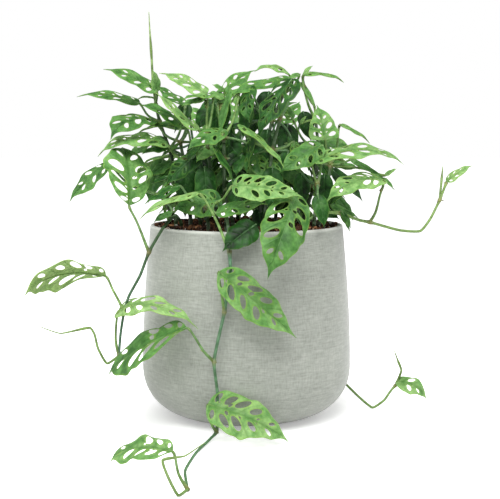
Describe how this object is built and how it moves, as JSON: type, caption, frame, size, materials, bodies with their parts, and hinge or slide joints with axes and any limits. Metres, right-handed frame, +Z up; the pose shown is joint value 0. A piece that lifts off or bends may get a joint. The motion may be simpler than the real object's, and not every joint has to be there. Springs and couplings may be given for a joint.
{
  "type": "potted monstera adansonii",
  "caption": "Swiss-cheese vine with holed heart-shaped leaves on thin trailing stems, growing in soil in a round tapered planter.",
  "frame": {"origin": "middle of the planter's flat foot, on the surface that it stands on", "axes": "+Z up along the planter's axis, -Y towards the front of the plant, +X to the right seen from the front"},
  "size_m": [0.4485, 0.4337, 0.4211],
  "materials": {
    "planter": "matt cast fibre cement with a fine crossed weave in its surface",
    "soil": "loose chunks of bark and coco fibre with white perlite",
    "foliage": "satin leaf skin over smooth green stems"
  },
  "bodies": {
    "root": {"planter": "planter", "soil": "soil", "vine_left": "foliage", "vine_front": "foliage", "vine_right": "foliage", "vine_right_rear": "foliage", "stem_high_left": "foliage", "stem_mid_left": "foliage", "stem_centre_left": "foliage", "stem_centre": "foliage", "stem_centre_back": "foliage", "stem_centre_front": "foliage", "stem_front_right": "foliage", "stem_front_left": "foliage", "stem_low_left": "foliage", "stem_high_right": "foliage", "stem_right": "foliage", "stem_right_front": "foliage", "stem_back_left": "foliage", "stem_back_centre": "foliage", "stem_back_right": "foliage"}
  },
  "joints": []
}
